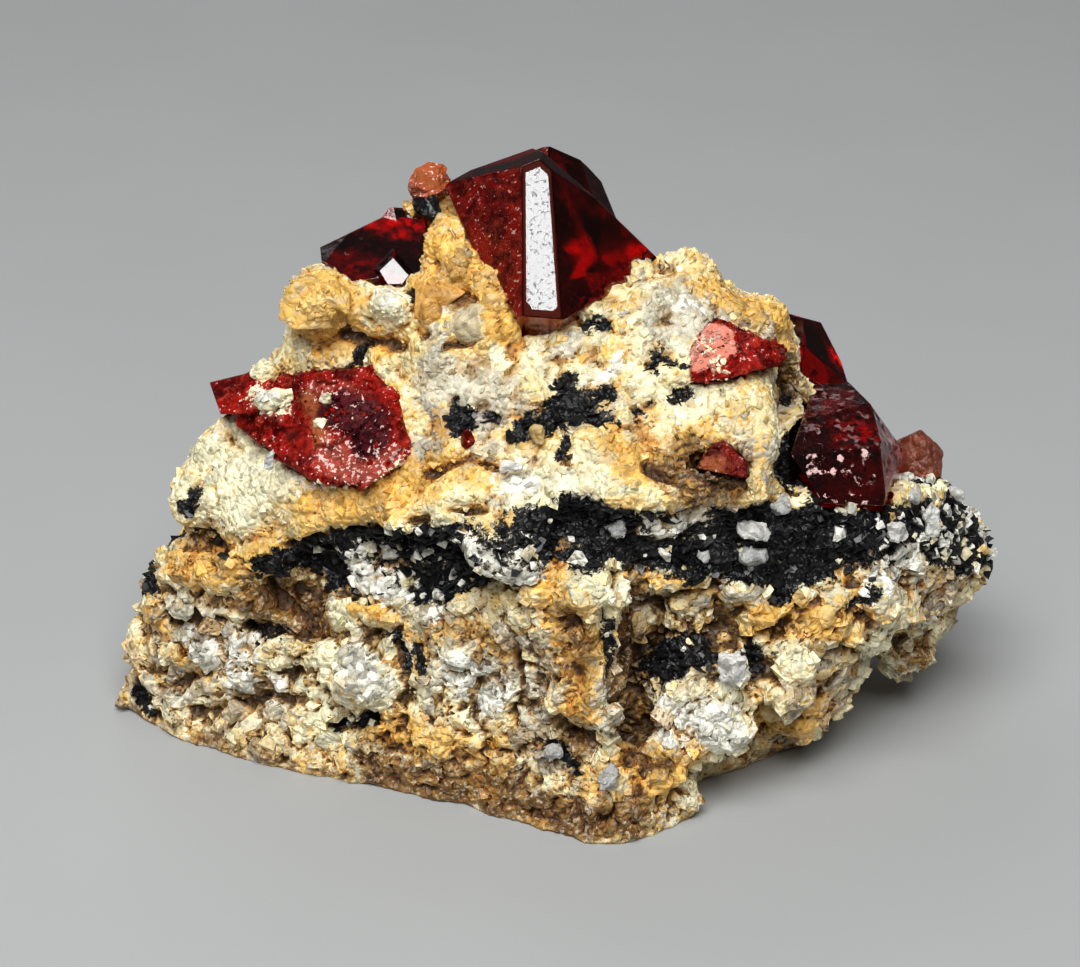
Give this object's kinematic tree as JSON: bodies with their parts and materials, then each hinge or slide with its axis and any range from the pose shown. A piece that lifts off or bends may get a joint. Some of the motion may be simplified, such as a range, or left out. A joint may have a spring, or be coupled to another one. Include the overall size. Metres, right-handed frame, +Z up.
{
  "type": "zircon on matrix",
  "caption": "Deep red zircon crystals standing on a wedge of cream, ochre and black banded matrix that rests on its flat broken foot.",
  "frame": {"origin": "on the flat foot of the matrix, under the middle of the display side", "axes": "+X along the long side of the rock, to the right of the display side; -Y out of the display side; +Z up, away from the foot"},
  "size_m": [0.0405, 0.0214, 0.0266],
  "materials": {
    "matrix": "matte",
    "zircon": "polished",
    "zircon_broken": "gloss",
    "zircon_brown": "gloss",
    "pink": "satin",
    "black": "gloss"
  },
  "bodies": {
    "root": {"matrix": "matrix", "zircon_main": "zircon", "zircon_upper_left": "zircon", "zircon_right": "zircon", "zircon_back_right": "zircon", "zircon_chip": "zircon", "zircon_far_right": "zircon_brown", "zircon_left": "zircon_broken", "zircon_flush": "zircon_broken", "pink_crystal": "pink", "black_crystal": "black"}
  },
  "joints": []
}
